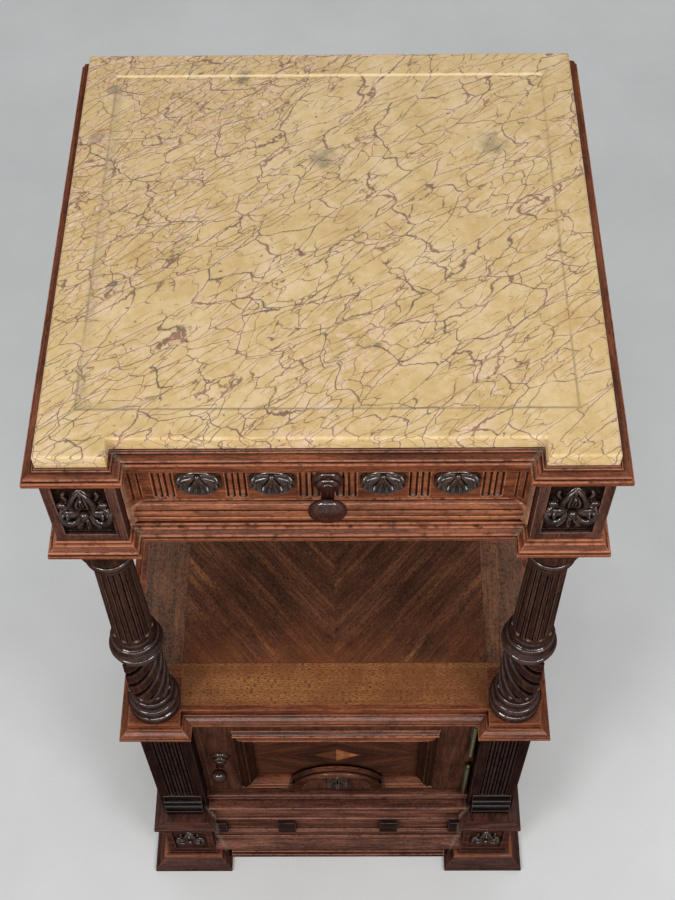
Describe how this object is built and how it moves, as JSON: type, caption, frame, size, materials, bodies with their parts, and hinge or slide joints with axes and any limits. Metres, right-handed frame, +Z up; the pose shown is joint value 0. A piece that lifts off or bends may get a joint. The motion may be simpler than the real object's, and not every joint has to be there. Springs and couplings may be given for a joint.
{
  "type": "bedside pot cupboard",
  "caption": "Carved walnut bedside pot cupboard with a marble top, a drawer, an open niche between turned columns and a hinged door cupboard on a moulded plinth.",
  "frame": {"origin": "centre of the overall footprint on the floor, under the four feet", "axes": "+X to the right as seen from the front, +Y from the front to the back, +Z up"},
  "size_m": [0.4424, 0.4292, 0.8953],
  "materials": {
    "marble": "polished",
    "walnut": "satin",
    "dark_walnut": "gloss",
    "column_walnut": "gloss",
    "veneer": "satin",
    "inner_wood": "matte",
    "brass": "aged"
  },
  "bodies": {
    "carcass": {"marble_top": "marble", "cornice": "walnut", "corner_block_left": "walnut", "corner_block_right": "walnut", "palmettes": "dark_walnut", "side_apron_left": "walnut", "side_apron_right": "walnut", "back_apron": "walnut", "case_moulding": "walnut", "drawer_runner_left": "inner_wood", "drawer_runner_right": "inner_wood", "drawer_guides": "inner_wood", "drawer_kickers": "inner_wood", "dust_board": "inner_wood", "column_left": "column_walnut", "column_right": "column_walnut", "rear_post_left": "walnut", "rear_post_right": "walnut", "niche_back": "veneer", "shelf_frame": "walnut", "shelf_board": "veneer", "front_post_left": "walnut", "front_post_right": "walnut", "post_base_left": "dark_walnut", "post_base_right": "dark_walnut", "side_frame_left": "walnut", "side_frame_right": "walnut", "side_panel_left": "veneer", "side_panel_right": "veneer", "cupboard_back": "inner_wood", "cupboard_bottom": "inner_wood", "top_rail": "walnut", "jamb_strip_left": "walnut", "jamb_strip_right": "walnut", "door_sill": "walnut", "plinth_front": "walnut", "plinth_side_left": "walnut", "plinth_side_right": "walnut", "plinth_back_board": "walnut", "plinth_blocks": "dark_walnut", "front_foot_left": "walnut", "front_foot_right": "walnut", "foot_rosettes": "dark_walnut", "rear_foot_left": "walnut", "rear_foot_right": "walnut", "hinge_frame_leaves": "brass", "hinge_pins": "brass"},
    "drawer": {"drawer_front": "walnut", "drawer_side_left": "inner_wood", "drawer_side_right": "inner_wood", "drawer_back": "inner_wood", "drawer_bottom": "inner_wood", "drawer_rosettes": "dark_walnut", "drawer_knob": "walnut"},
    "door": {"door_frame": "walnut", "door_panel": "veneer", "panel_moulding": "walnut", "door_shell": "dark_walnut", "hinge_door_leaves": "brass"},
    "latch": {"latch_knob": "walnut"}
  },
  "joints": [
    {"name": "drawer_slide", "type": "slide", "parent": "carcass", "child": "drawer", "axis": [0, -1, 0], "range_m": [0, 0.235]},
    {"name": "door_swing", "type": "hinge", "parent": "carcass", "child": "door", "pos_m": [0.145, -0.16437, 0.24], "axis": [0, 0, 1], "range_deg": [0, 110]},
    {"name": "latch_turn", "type": "hinge", "parent": "door", "child": "latch", "pos_m": [-0.1265, -0.15937, 0.243], "axis": [0, -1, 0], "range_deg": [0, 90]}
  ]
}
